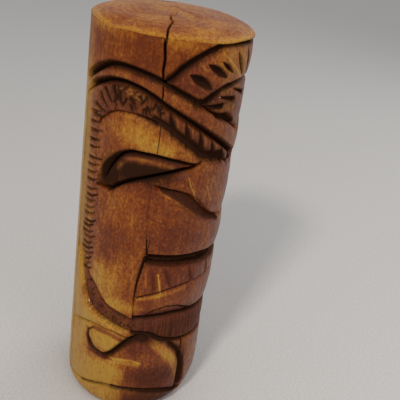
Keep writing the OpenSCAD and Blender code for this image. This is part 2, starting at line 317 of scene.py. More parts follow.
def face_cuts():
    """The bridge, the nostril leaf, the folds of the muzzle and the inside of the mouth."""
    yield cut([(70, 148.6), (60, 146.6), (50, 143), (40, 137.8), (30, 132), (20, 127.6)], 1.2,
              2.4, 0.72, belly=7.2, tone=0.5, power=0.3)
    yield cut([(36, 136), (26, 130.6), (10, 125.6)], (2.0, 4.0), 1.5, 0.85)
    # Painted highlights: the lit lower edge of the nostril leaf, and lit edges between the nose's
    # facets.
    yield stroke([(69, 146.4), (60, 143.4), (50, 138.8), (40, 133.6)], 1.3, -0.4)
    yield stroke([(50.5, 155.5), (47, 149.5), (42, 143.6), (37, 139.8)], 0.9, -0.6)
    yield stroke([(47, 153), (44.5, 147.5)], 0.7, -0.5)
    yield stroke([(34, 150), (26, 140)], 1.2, -0.35)
    yield cut([(66, 154.5), (54, 154), (49, 150)], (3.0, 5.0), 0.7, 0.12)
    yield cut([(74.3, 109), (76.8, 100.5), (78.6, 93), (79.4, 84)], (3.0, 0.8), 2.0, 1.0)
    yield cut([(74.2, 109.5), (73.6, 114), (72.8, 120)], (1.2, 0.4), 0.9, 0.7)
    yield cut([(67.5, 100), (66, 94), (64.5, 88)], (2.6, 3.4), 1.3, 0.15, tone=0.25)
    yield cut([(57.5, 100), (54, 95), (51, 90)], (4.4, 3.2), 1.7, 0.25, tone=0.2)
    # Painted highlight on the tongue's ridge.
    yield stroke([(63, 98.5), (61, 92), (59, 86.4)], 1.1, -1.0)
    yield stroke([(73, 99), (71, 90)], 1.2, -0.25)
    yield stroke([(47, 98), (44, 93)], 1.4, -0.25)
    yield cut([(36, 100), (33, 92)], (2.4, 3.4), 1.5, 0.4)
    yield cut([(14, 100), (13, 92)], (2.4, 3.4), 1.5, 0.4)
    # Painted highlight along the top of the lower lip.
    yield stroke([(76, 82), (60, 85), (48, 87), (38, 88)], 3.2, -0.35)
    yield cut([(70, 70.6), (62, 75.2), (52, 77.2), (42, 76.2), (34, 73.4), (27, 70.4)],
              (1.0, 1.8), 1.7, 0.85)
    yield cut([(122, 141.5), (114, 145), (107, 149)], (2.0, 6.0), 1.2, 0.6)
    # Painted highlight along the raised rim inside the eye.
    yield stroke([(108, 151), (103, 156.5), (96, 161), (88, 162), (76, 161.4), (62, 160)], 3.0,
                 -0.45)
    yield stroke([(106, 152), (102, 156.5), (95, 159), (82, 159.5), (62, 159)], 1.8, -0.32)
    for top in np.arange(118, 146, 3.5):
        start = 68 + jitter(6)
        yield stroke([(start, top), (start - 20, top - 4.5), (start - 40, top - 12)],
                     random.uniform(1.0, 2.4), jitter(0.16))
    for _ in range(150):
        turn, z = random.uniform(8, 122), random.uniform(76, 158)
        lean, rise = jitter(2.4), random.uniform(0.8, 2.4)
        yield stroke([(turn - lean, z - rise), (turn + lean, z + rise)],
                     random.uniform(0.4, 0.8), jitter(0.28))


def body_cuts():
    """Gouges at the hand, the knee and the foot, with painted shadow round the hand and painted
    highlights on the knee.
    """
    yield cut([(115.5, 40.5), (119, 45), (117.5, 50), (113, 53)], (3.8, 1.4), 1.8, 0.8)
    # Painted shadow along the top of the hand and under it.
    yield stroke([(112, 53.4), (98, 53.8), (86, 52.2)], 3.4, 0.55)
    yield stroke([(116, 36.3), (102, 35.6), (92, 37)], 2.2, 0.5)
    # Painted highlights on the knee's ridge.
    yield stroke([(93, 37.5), (84, 39), (75, 39.2), (68, 37.5)], 1.8, -0.5)
    yield stroke([(92, 36), (82, 36.8), (70, 36)], 6.5, -0.42)
    # The knee's front edge: paler wood with a painted highlight on it.
    yield stroke([(57, 51), (47, 43.5), (38, 35.5), (31, 24)], 9, -0.6)
    # Painted shadow down the hand's back edge.
    yield stroke([(119, 50), (118, 44), (112, 37.8), (100, 36.3)], 5, 0.55)
    yield cut([(44, 50), (35, 43), (29, 34), (26, 23), (24, 14)], (4.5, 6.5), 2.2, 0.95)
    yield cut([(91, 43.5), (80, 45.5), (66, 44.5)], 4.0, 1.0, 0.12, belly=2)
    yield cut([(93, 33.6), (82, 34.2), (70, 33)], 3.0, 0.8, 0.0, belly=1.5)


def drying_crack():
    """One check that opened as the log dried, wide in the crown and faint below it."""
    stretches = [
        ([(CRACK_TURN, RIM_Z), (79.1, 218), (77.9, 212), (78.3, 206.5), (77.3, 202)],
         (1.6, 1.2), 3.6, 1.2),
        ([(77.3, 202), (76.4, 196), (76.7, 188), (75.6, 182)], (0.9, 0.8), 1.5, 0.9),
        ([(75.6, 182), (75.1, 175), (75.4, 167)], (0.7, 0.5), 1.0, 0.9),
        ([(76.4, 150), (77.2, 138), (76.2, 128), (75.2, 120)], (0.4, 0.5), 0.3, 0.45),
        ([(75.2, 120), (73.8, 111)], (0.8, 1.3), 1.4, 1.0),
    ]
    for points, width, depth, dark in stretches:
        yield cut(points, width, depth, dark, one_sided=True)
    yield cut([(86, 213), (81.5, 209.5)], 0.6, 0.3, 0, tone=-0.7, one_sided=True)
    yield cut([(84.5, 209), (82, 212.5)], 0.6, 0.3, 0, tone=-0.7, one_sided=True)


CUTS = [
    *edge_grooves(), *border_notches(), *fringe_cuts(), *band_striations(), *crest_cuts(),
    *face_cuts(), *body_cuts(), *drying_crack(),
]


def along(points, x, z):
    """Distance from each place to a path, in millimetres, and how far along it that is."""
    total = np.hypot(*np.diff(points, axis=0).T).sum()
    nearest, share, walked = np.full(x.shape, 1e9), np.zeros(x.shape), 0.0
    for start, end in zip(points[:-1], points[1:]):
        step = end - start
        length = math.hypot(*step)
        t = np.clip(((x - start[0]) * step[0] + (z - start[1]) * step[1]) / length**2, 0, 1)
        away = np.hypot(x - start[0] - t * step[0], z - start[1] - t * step[1])
        closer = away < nearest
        nearest = np.where(closer, away, nearest)
        share = np.where(closer, (walked + t * length) / total, share)
        walked += length
    return nearest, share


def carve(turn, z):
    """What the gouge cuts add at each place: depth, stain and painted shade, and change of tone.
    """
    depth, dark, tone_change = (np.zeros(turn.shape) for _ in range(3))
    for c in CUTS:
        x = (turn if c.one_sided else fold(turn)) * ARC
        path = c.path * (ARC, 1)
        margin = max(c.width) + c.belly
        low, high = path.min(0) - margin, path.max(0) + margin
        near = (x > low[0]) & (x < high[0]) & (z > low[1]) & (z < high[1])
        if not near.any():
            continue
        away, share = along(path, x[near], z[near])
        width = c.width[0] + (c.width[1] - c.width[0]) * share + 4 * c.belly * share * (1 - share)
        inside = np.clip(1 - away / (width / 2), 0, 1)
        size = width / (max(c.width) + c.belly)
        depth[near] = np.maximum(depth[near], c.depth * inside ** c.power * size)
        feather = np.clip(1.35 - away / (width * 0.5), 0, 1)
        dark[near] = np.maximum(dark[near], c.dark * feather)
        tone_change[near] += c.tone * np.clip(1.5 * inside, 0, 1)
    return depth, dark, tone_change


# ---- Hand-worked surface ----
def value_noise(turn, z, cell_turn, cell_z, seed):
    """Smooth noise from 0 to 1 that closes on itself round the log."""
    columns = round(360 / cell_turn)
    rows = int(TOP / cell_z) + 4
    grid = np.random.default_rng(seed).random((columns, rows))
    u, v = (np.asarray(turn) % 360) / 360 * columns, np.asarray(z) / cell_z + 1
    i, j = np.floor(u).astype(int), np.floor(v).astype(int)
    fu, fv = u - i, v - j
    fu, fv = fu * fu * (3 - 2 * fu), fv * fv * (3 - 2 * fv)
    i, i1, j = i % columns, (i + 1) % columns, np.clip(j, 0, rows - 2)
    low = grid[i, j] * (1 - fu) + grid[i1, j] * fu
    high = grid[i, j + 1] * (1 - fu) + grid[i1, j + 1] * fu
    return low * (1 - fv) + high * fv


def worked(turn, z):
    """Shallow unevenness left by knife and gouge, stronger on the carved side."""
    carved = np.clip((BACK_TURN + 5 - fold(turn)) / 20, 0.25, 1)
    slow = value_noise(turn, z, 15, 14, 11) * 0.5
    facets = value_noise(turn, z, 5, 5, 12) * 0.35 + value_noise(turn, z, 2.5, 6, 13) * 0.16
    return (slow * (0.4 + 0.6 * carved) + facets * carved) * 0.55


# ---- Stain ----
# Patches that push the wood towards red stain (+) or pale sapwood (-); the one at (57, 26) is
# painted shade in the recess under the knee:
# (turn, height, reach in mm round the log, reach in mm up it, change)
PATCHES = [
    (93, 174, 12, 5, -0.36), (74, 168, 8, 4, -0.3), (114, 166, 6, 9, 0.12),
    (108, 89, 10, 11, -0.46), (93, 75.5, 12, 5, -0.52), (84, 99, 6, 10, -0.18),
    (98, 133, 11, 9, -0.1), (100, 115, 10, 9, 0.12), (90, 147, 9, 5, 0.1),
    (60, 118, 16, 8, 0.14), (20, 148, 11, 12, -0.1), (50, 155, 8, 3, 0.1),
    (92, 213, 7, 12, 0.3), (66, 211, 7, 5, 0.2), (70, 220, 8, 3, -0.3),
    (122, 220, 18, 3, -0.3), (126, 210, 14, 12, 0.14), (30, 100, 20, 12, 0.06),
    (26, 211, 14, 10, -0.36),
    (60, 201, 9, 5, 0.12), (99, 48, 10, 5.5, -0.55), (104, 60, 17, 3.4, -0.45),
    (128, 57, 9, 12, -0.5), (126, 39, 9, 4, 0.3), (70, 50, 11, 7, 0.2), (57, 26, 15, 9, 0.35),
    (54, 8, 23, 9, 0.65), (108, 12, 15, 9, -0.45), (99, 27, 13, 8.5, -0.8),
    (50, 72.5, 16, 2.4, 0.3), (130, 110, 3.5, 34, -0.15), (28, 97, 10, 8, 0.1),
]
# Painted shade, with some stain: places in recesses and under overhangs darkened towards near
# black, in the same form. The negative ones take the painted shade off the rim inside the eye,
# which is painted lit instead.
SHADOWS = [
    (87, 156, 20, 7.5, 0.72), (111, 149, 5.5, 8, 0.5), (57, 26, 15, 8, 0.45),
    (69, 57, 6, 3.5, 0.5), (57, 52.5, 9, 2.6, 0.4),
    (55, 8, 20, 9, 0.6), (50, 73, 15, 2.2, 0.4), (28, 30, 5, 16, 0.3), (40, 59, 24, 8, 0.28),
    (100, 190, 16, 5, 0.32), (36, 192, 10, 5, 0.3),
    (103, 156, 4, 3.2, -0.4), (94, 161.3, 6, 1.7, -0.45), (82, 161.6, 7, 1.5, -0.45),
    (70, 160.6, 6, 1.2, -0.4), (84, 155, 17, 4, 0.3),
]


def patches(listed, turn, z):
    """The sum of a list of patches, each flat in the middle and soft at its border."""
    total = np.zeros(np.shape(z))
    side = fold(turn) + 3 * (value_noise(turn, z, 5, 6, 24) - 0.5)
    for at, height, wide, tall, change in listed:
        reach = ((side - at) * ARC / wide) ** 2 + ((z - height) / tall) ** 2
        total = total + change * np.exp(-reach ** 1.7)
    return total


def tone(turn, z, base):
    """How red-brown the wood is, from 0 on the sapwood back to 1 in full stain."""
    side = fold(turn)
    value = base + patches(PATCHES, turn, z)
    value = value + 0.2 * (value_noise(turn, z, 12, 14, 21) - 0.5)
    value = value + 0.16 * (value_noise(turn, z, 3, 4, 22) - 0.5)
    ragged = 4 * (value_noise(turn, z, 5, 9, 23) - 0.5)
    edge = 132 - 5 * np.clip((108 - z) / 25, 0, 1)
    back = np.clip((side + ragged - edge) / 7, 0, 1) * np.clip((216 - z) / 34, 0.35, 1)
    below_hand = np.clip((66 - z) / 10, 0, 1) * np.clip((side + ragged - 108) / 18, 0, 1)
    back = np.maximum(back, below_hand)
    foot = np.clip((34 - z) / 5, 0, 1) * np.clip((side + ragged * 0.5 - 79) / 4, 0, 1)
    value = value * (1 - 0.9 * back) * (1 - 0.6 * foot)
    return np.clip(value, 0, 1)


# ---- Members ----
# low_cut and high_cut are (depth at the edge, width over which it runs out).
Member = namedtuple(
    "Member", "name slot first last low high face low_cut high_cut side_cuts base_tone"
)
# How far round the corner of the mouth lies, as (height, turn)
MOUTH_CORNER = [(66, 79), (82, 80), (94, 79), (101, 77), (111, 73)]
SHARP = (1.1, 1.2)      # the rounded lip of a member that stands over its neighbour
GROOVE = (3.2, 2.2)     # half of a V-groove
NO_CUT = (0.0, 1.0)
# The turns at which members lie side by side, and how deep their faces are there
MEETING = [(80, 0.3), (125, 0.9)]
MEETING_REACH = 3.0
# Where the cuts at a member's low and high edges run out: (turn, degrees over which) for each
RUN_OUT = {
    "nose": (77, 6, 200, 1), "upper_lip": (76, 3, 77, 6), "eye_right": (117, 12, 119, 12),
    "eye_left": (117, 12, 119, 12), "eyelid_right": (118, 8, 200, 1),
    "eyelid_left": (118, 8, 200, 1), "cheek_right": (200, 1, 117, 12),
    "cheek_left": (200, 1, 117, 12),
}


def pair(name, slot, *rest):
    """The same member on the figure's right and left."""
    right = Member(f"{name}_right", slot, *rest)
    left = right._replace(
        name=f"{name}_left", first=-right.last, last=-right.first,
        side_cuts=right.side_cuts[::-1],
    )
    return [right, left]


MEMBERS = [
    Member("crest", "red_stain", -75, 75, CREST_LOW, CROWN_EDGE, (0.9, 0.1, 0.9),
           SHARP, SHARP, (NO_CUT, NO_CUT), 0.72),
    Member("forehead_boss", "dark_stain", -50, 50, BROW_TOP, CREST_LOW, (1.2, 0.5, 1.2),
           GROOVE, (3.6, 3.0), (NO_CUT, NO_CUT), 0.74),
    *pair("brow_band", "red_stain", 0, 145, FRINGE_TOP, BROW_TOP, (0.7, 0.0, 0.7),
          SHARP, (2.6, 1.6), (NO_CUT, NO_CUT), 0.68),
    *pair("fringe", "dark_stain", 0, 125, FRINGE_LOW, FRINGE_TOP, (1.2, 0.8, 1.4),
          SHARP, (4.0, 2.6), (NO_CUT, NO_CUT), 0.8),
    *pair("side_border", "dark_stain", 125, 145, CHIN_TOP, FRINGE_TOP, (0.5, 0.4, 0.5),
          GROOVE, GROOVE, (NO_CUT, NO_CUT), 0.64),
    *pair("eyelid", "amber_wood", 40, 125, LID_TOP, FRINGE_LOW, (1.2, 0.8, 1.6),
          SHARP, (1.3, 2.4), (NO_CUT, NO_CUT), 0.56),
    *pair("eye", "dark_stain", 40, 125, LID_LOW, LID_TOP, (3.4, 2.4, 2.4),
          (4.4, 2.8), (6.0, 2.0), (NO_CUT, NO_CUT), 0.95),
    *pair("cheek", "red_stain", 80, 125, CHIN_TOP, LID_LOW, (0.8, 0.0, 1.0),
          SHARP, (2.2, 2.5), (NO_CUT, NO_CUT), 0.72),
    Member("nose", "red_stain", -80, 80, NOSE_LOW, NOSE_TOP, (1.0, 0.3, 1.0),
           (2.4, 1.6), (2.2, 2.4), (NO_CUT, NO_CUT), 0.74),
    Member("upper_lip", "red_stain", -80, 80, MOUTH_TOP, NOSE_LOW, (0.8, 0.0, 1.0),
           SHARP, (2.4, 2.0), (NO_CUT, NO_CUT), 0.76),
    Member("tongue", "red_stain", -80, 80, TONGUE_LOW, MOUTH_TOP, (0.9, 1.0, 4.0),
           (0.8, 1.2), (5.5, 7.0), (NO_CUT, NO_CUT), 0.78),
    Member("lower_lip", "red_stain", -80, 80, CHIN_TOP, TONGUE_LOW, (2.4, 0.7, 0.8),
           (4.0, 3.0), (0.8, 1.2), (NO_CUT, NO_CUT), 0.76),
    Member("chin_band", "plum_stain", -145, 145, CHIN_LOW, CHIN_TOP, (1.8, 1.6, 2.4),
           (1.2, 1.4), (3.4, 2.6), (NO_CUT, NO_CUT), 0.85),
    *pair("arm", "amber_wood", 70, 145, ARM_LOW, CHIN_LOW, (0.6, 0.2, 1.0),
          (1.6, 1.4), (2.6, 2.2), (NO_CUT, NO_CUT), 0.5),
    *pair("hand", "pale_wood", 75, 125, HAND_LOW, ARM_LOW, (0.9, 0.5, 1.5),
          (1.4, 1.2), (2.6, 1.8), (NO_CUT, NO_CUT), 0.42),
    *pair("leg", "red_stain", 30, 145, FOOT_LINE, LEG_TOP, (0.6, 0.3, 1.2),
          (1.0, 1.4), (1.4, 1.6), ((2.2, 1.6), NO_CUT), 0.74),
    Member("loin_panel", "red_stain", -30, 30, FOOT_LINE, CHIN_LOW, (0.6, 0.6, 1.4),
           (2.8, 2.4), (2.6, 2.4), ((4.2, 3.5), (4.2, 3.5)), 0.74),
    Member("back_panel", "pale_wood", 145, 215, FOOT_LINE, CROWN_EDGE, (0, 0, 0),
           NO_CUT, NO_CUT, (NO_CUT, NO_CUT), 0.3),
]


def stations(first, last):
    """The turns at which every member is cut, closer together along the crack."""
    even = np.arange(-180, 540.001, 5 / STEPS_PER_5_DEG)
    fine = np.arange(*CRACK_TURNS, CRACK_STEP)
    turns = np.unique(np.round(np.concatenate([even, fine]), 4))
    return turns[(turns >= first - 1e-6) & (turns <= last + 1e-6)]


def edge_cut(distance, depth_width):
    """Depth of an edge's cut at a distance in from that edge."""
    depth, width = depth_width
    return depth * np.clip(1 - distance / width, 0, 1) ** 1.5


def square_on(line, turns):
    """How much a height above an edge shortens when measured square to the edge."""
    return np.cos(np.arctan(np.gradient(line, turns) / ARC))[:, None]


def run_out_to_back(turn):
    """1 over the carved side, falling to 0 where the cuts have run out on the plain back."""
    return np.clip((BACK_TURN + 5 - fold(turn)) / 15, 0, 1)


def meet(m, turn, face):
    """Members that lie side by side come to one depth where they meet."""
    for at, depth in MEETING:
        if at in (abs(m.first), abs(m.last)):
            near = np.exp(-(((fold(turn) - at) * ARC / MEETING_REACH) ** 2))
            face = face * (1 - near) + depth * near
    return face


def member_depth(m, turns, low, high, z):
    """Depth of a member's face, with its edge cuts, before the gouge cuts."""
    off_low, off_high = square_on(low, turns), square_on(high, turns)
    turn, low, high = turns[:, None], low[:, None], high[:, None]
    share = (z - low) / (high - low)
    foot, middle, head = m.face
    face = (
        foot * (1 - share) * (1 - 2 * share) + head * share * (2 * share - 1)
        + 4 * middle * share * (1 - share)
    )
    face = meet(m, turn, np.maximum(face, 0))
    fade = run_out_to_back(turn)
    low_from, low_over, high_from, high_over = RUN_OUT.get(m.name, (200, 1, 200, 1))
    cuts = [
        edge_cut((z - low) * off_low, m.low_cut) * fade
        * np.clip((low_from - fold(turn)) / low_over, 0, 1),
        edge_cut((high - z) * off_high, m.high_cut) * fade
        * np.clip((high_from - fold(turn)) / high_over, 0, 1),
        edge_cut((turn - m.first) * ARC, m.side_cuts[0]) * np.ones(z.shape),
        edge_cut((m.last - turn) * ARC, m.side_cuts[1]) * np.ones(z.shape),
    ]
    depth = face * fade + np.maximum.reduce(cuts)
    return in_mouth(turn, z, depth) if m.name in ("tongue", "lower_lip") else depth


def in_mouth(turn, z, depth):
    """Sinks what lies in the mouth at its slanting corners, which are part of the cheek."""
    heights, turns = np.array(MOUTH_CORNER).T
    inside = (np.interp(z, heights, turns) - fold(turn)) * ARC
    return np.where(inside < 0, 0.3, depth + edge_cut(inside, (1.3, 1.6)))


def foot_rounding(turn, z):
    """Depth taken off the lower end of the log, which is rounded most at the front."""
    front = np.clip((75 - fold(turn)) / 45, 0, 1)
    tall, inset = 9 + 10 * front, 5 + 4.5 * front
    return inset * (1 - np.sqrt(1 - np.clip(1 - z / tall, 0, 1) ** 2))


def finish_depth(turn, z, depth):
    """Adds gouge cuts and hand-worked unevenness; returns depth, stain with painted shade, and
    change of tone.
    """
    cut_depth, cut_dark, tone_change = carve(turn, z)
    total = np.maximum(depth, cut_depth + 0.4 * depth) + worked(turn, z)
    # Painted shade: the deeper the surface lies below the log, the darker it is painted.
    hollow_shade = np.clip((total - 2.2) / 2.6, 0, 1)
    total = total + foot_rounding(turn, z)
    dark = np.clip(np.maximum(hollow_shade, cut_dark) + patches(SHADOWS, turn, z), 0, 1)
    return np.clip(total, 0, LOG_R - HEART_R - 0.5), dark, tone_change


# ---- Meshes ----
def place(turn, radius, z):
    """Millimetre places on the log, as metres in the row frame."""
    angle = np.radians(turn)
    return np.stack([-radius * np.sin(angle), -radius * np.cos(angle), z], -1) * MM


def add_attribute(mesh, name, values):
    data = mesh.attributes.new(name, "FLOAT", "POINT")
    data.data.foreach_set("value", np.asarray(values, np.float32))


def build(name, slot, verts, quads, sharp_rows, fields):
    """A mesh object from vertices, faces, the rings that stay sharp, and its attributes."""
    mesh = bpy.data.meshes.new(f"carved_{name}")
    mesh.from_pydata(verts.tolist(), [], quads)
    for key, values in fields.items():
        add_attribute(mesh, key, values)
    mesh.polygons.foreach_set("use_smooth", np.ones(len(mesh.polygons), bool))
    mesh.validate()
    obj = bpy.data.objects.new(f"carved_{name}", mesh)
    bpy.context.scene.collection.objects.link(obj)
    ends = np.empty(len(mesh.edges) * 2, int)
    mesh.edges.foreach_get("vertices", ends)
    ends = ends.reshape(-1, 2)
    sharp = np.zeros(len(ends), bool)
    for ring in sharp_rows:
        marked = np.zeros(len(verts), bool)
        marked[ring] = True
        sharp |= marked[ends[:, 0]] & marked[ends[:, 1]]
    crease = mesh.attributes.new("sharp_edge", "BOOLEAN", "EDGE")
    crease.data.foreach_set("value", sharp)
    mesh.materials.append(MATERIALS[slot])
    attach(obj, "root")
    return obj


def quad_strip(rows, closed):
    """Faces between the rows of a grid of vertex numbers, outward-facing for rising rows."""
    a, b, c, d = rows[:-1, :-1], rows[:-1, 1:], rows[1:, 1:], rows[1:, :-1]
    faces = np.stack([a, b, c, d], -1).reshape(-1, 4)
    if closed:
        wrap = np.stack([rows[:-1, -1], rows[:-1, 0], rows[1:, 0], rows[1:, -1]], -1)
        faces = np.concatenate([faces, wrap])
    return faces.tolist()


def build_member(m):
    """A closed solid: the carved face, walls down to the heart, and its inner face."""
    turns = stations(m.first, m.last)
    low, high = follow(m.low, turns), follow(m.high, turns)
    high = np.maximum(high, low + 0.3)
    rows = max(4, int(np.percentile(high - low, 80) / FINE))
    share = np.linspace(0, 1, rows + 1)
    turn = np.repeat(turns[:, None], rows + 1, 1)
    z = low[:, None] + (high - low)[:, None] * share
    depth, dark, tone_change = finish_depth(turn, z, member_depth(m, turns, low, high, z))
    hue = np.clip(tone(turn, z, m.base_tone) + tone_change, 0, 1)
    outer = place(turn, LOG_R - depth, z)
    inner = place(turns[:, None] * np.ones(2), HEART_R, np.stack([low, high], 1))
    columns = len(turns)
    face = np.arange(columns * (rows + 1)).reshape(columns, rows + 1)
    back = face.size + np.arange(columns * 2).reshape(columns, 2)
    quads = quad_strip(face, False)
    quads += quad_strip(back[:, ::-1], False)
    quads += quad_strip(np.stack([back[:, 0], face[:, 0]], 1), False)
    quads += quad_strip(np.stack([face[:, -1], back[:, 1]], 1), False)
    for end, flip in ((0, 1), (-1, -1)):
        ring = [*face[end, ::-1], back[end, 0], back[end, 1]][::flip]
        quads.append([int(v) for v in ring])
    verts = np.concatenate([outer.reshape(-1, 3), inner.reshape(-1, 3)])
    filler = np.ones(back.size)
    fields = {
        "tone": np.concatenate([hue.ravel(), filler]),
        "dark": np.concatenate([dark.ravel(), filler]),
        "top": np.zeros(len(verts)),
    }
    rim = np.concatenate([face[0], face[-1], face[:, 0], face[:, -1]])
    obj = build(m.name, m.slot, verts, quads, [rim], fields)
    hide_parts(m.name)
    return obj


def crack_on_top(turn, radius):
    """Depth of the crack that runs in from the rim across the crown."""
    wander = 2.0 * np.sin(radius * 0.4) + 0.7 * np.sin(radius * 1.1 + 1)
    away = np.abs((turn - CRACK_TURN) * math.pi / 180 * radius - wander * (LOG_R - radius) / LOG_R)
    width = 0.65 * np.clip((radius - 6) / 18, 0, 1) + 1e-6
    return np.clip(1 - away / width, 0, 1)


def rim_wear(turn):
    """How far the rim has worn down, most where a piece has chipped away."""
    wavy = value_noise(turn, np.full(turn.shape, RIM_Z), 18, 40, 32)
    return 0.3 + 0.9 * wavy + 1.3 * np.exp(-(((fold(turn) - 120) / 9) ** 2))


def build_crown():
    """The band above the brow, the worn rim and the domed end-grain top."""
    turns = stations(-180, 179.99)
    edge = follow(CROWN_EDGE, turns)
    rows = int((RIM_Z - edge.min()) / FINE)
    share = np.linspace(0, 1, rows + 1)
    turn = np.repeat(turns[:, None], rows + 1, 1)
    worn = rim_wear(turns)[:, None]
    z = edge[:, None] + (RIM_Z - RIM_ROUND - worn - edge[:, None]) * share
    fade = run_out_to_back(turn)
    depth, dark, _ = finish_depth(turn, z, edge_cut(z - edge[:, None], (2.8, 1.2)) * fade)
    overhang = np.clip(1 - (z - edge[:, None]) / 1.2, 0, 1) * (fold(turn) < 45)
    depth = depth + overhang
    side = place(turn, LOG_R - depth, z)

    bend = np.radians(np.linspace(15, 90, 6))
    lip_r = LOG_R - RIM_ROUND * (1 - np.cos(bend))
    lip_z = RIM_Z - RIM_ROUND * (1 - np.sin(bend)) - 0.4
    inward = np.linspace(1, 0.02, int((LOG_R - RIM_ROUND) / (FINE * 1.4)))
    dome_r = (LOG_R - RIM_ROUND) * inward
    dome_z = TOP - CROWN_RISE * inward ** 2.4 - 0.4
    radius, height = np.concatenate([lip_r, dome_r[1:]]), np.concatenate([lip_z, dome_z[1:]])
    top_turn = np.repeat(turns[:, None], len(radius), 1)
    wear = worked(top_turn, np.full(top_turn.shape, RIM_Z))
    dent = 0.6 * value_noise(top_turn, radius * 4, 20, 30, 31) * np.clip(radius / 6, 0, 1)
    groove = crack_on_top(top_turn, radius)
    outer = np.clip((radius - 30) / 8, 0, 1)
    top_z = height - dent - worn * outer ** 2 - 2.6 * groove
    top_r = radius - wear * outer
    top = place(top_turn, top_r, top_z)

    columns, across, up = len(turns), len(radius), rows + 1
    face = np.arange(columns * up).reshape(columns, up)
    lid = face.size + np.arange(columns * across).reshape(columns, across)
    under = lid.max() + 1 + np.arange(columns * 2).reshape(columns, 2)
    centre = under.max() + 1 + np.arange(2)
    inner = np.stack([
        place(turns, HEART_R, edge), place(turns, HEART_R, np.full(columns, HEART_HIGH)),
    ], 1)
    verts = np.concatenate([
        side.reshape(-1, 3), top.reshape(-1, 3), inner.reshape(-1, 3),
        [(0, 0, top_z[:, -1].mean() * MM), (0, 0, HEART_HIGH * MM)],
    ])
    chain = np.concatenate([under[:, ::-1], face, lid], 1)
    wrapped = np.concatenate([chain, chain[:1]])
    quads = quad_strip(wrapped, False)
    ahead = np.roll(np.arange(columns), -1)
    quads += [[int(lid[i, -1]), int(lid[j, -1]), int(centre[0])] for i, j in enumerate(ahead)]
    quads += [[int(under[j, 1]), int(under[i, 1]), int(centre[1])] for i, j in enumerate(ahead)]
    blotch = value_noise(top_turn, radius * 3, 24, 25, 41) - 0.5
    lid_tone = 0.44 + 0.4 * blotch - 0.2 * np.clip((radius - 36) / 3, 0, 1)
    rest = np.ones(under.size + 1)
    lid_top = np.clip((LOG_R - radius) / 3, 0, 1) * np.ones(lid.shape)
    fields = {
        "tone": np.concatenate(
            [tone(turn, z, 0.68).ravel(), lid_tone.ravel(), rest[1:], [lid_tone[0, -1], 1]]
        ),
        "dark": np.concatenate([dark.ravel(), groove.ravel(), rest[1:], [0, 1]]),
        "top": np.concatenate([np.zeros(face.size), lid_top.ravel(), 0 * rest[1:], [1, 0]]),
    }
    obj = build("crown", "end_grain", verts, quads, [face[:, 0]], fields)
    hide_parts("crown")


def build_base():
    """The rounded foot under the last groove, flat below."""
    turns = stations(-180, 179.99)
    edge = follow(FOOT_LINE, turns)
    rows = int(edge.max() / FINE)
    share = np.linspace(0, 1, rows + 1)
    turn = np.repeat(turns[:, None], rows + 1, 1)
    z = edge[:, None] * share
    fade = run_out_to_back(turn)
    depth, dark, _ = finish_depth(turn, z, edge_cut(edge[:, None] - z, (0.9, 1.2)) * fade)
    side = place(turn, LOG_R - depth, z)
    columns, up = len(turns), rows + 1
    face = np.arange(columns * up).reshape(columns, up)
    inner = face.size + np.arange(columns * 2).reshape(columns, 2)
    centre = inner.max() + 1 + np.arange(2)
    core = np.stack([
        place(turns, HEART_R, edge), place(turns, HEART_R, np.full(columns, HEART_LOW)),
    ], 1)
    verts = np.concatenate([
        side.reshape(-1, 3), core.reshape(-1, 3), [(0, 0, 0), (0, 0, HEART_LOW * MM)],
    ])
    chain = np.concatenate([face, inner], 1)
    wrapped = np.concatenate([chain, chain[:1]])
    quads = quad_strip(wrapped, False)
    ahead = np.roll(np.arange(columns), -1)
    quads += [[int(inner[i, 1]), int(inner[j, 1]), int(centre[1])] for i, j in enumerate(ahead)]
    quads += [[int(face[j, 0]), int(face[i, 0]), int(centre[0])] for i, j in enumerate(ahead)]
    rest = np.ones(inner.size + 2)
    fields = {
        "tone": np.concatenate([tone(turn, z, 0.5).ravel(), 0.3 * rest]),
        "dark": np.concatenate([dark.ravel(), 0 * rest]),
        "top": np.zeros(len(verts)),
    }
    obj = build("base", "amber_wood", verts, quads, [face[:, 0], face[:, -1]], fields)
    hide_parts("base")


# ---- Varnished wood ----
PALE = (0.42, 0.225, 0.026, 1)
GOLD = (0.34, 0.118, 0.009, 1)
ORANGE = (0.215, 0.047, 0.004, 1)
RED = (0.108, 0.0160, 0.0025, 1)
# SHADE is the near-black of deep stain and of painted shade.
SHADE = (0.030, 0.0115, 0.006, 1)


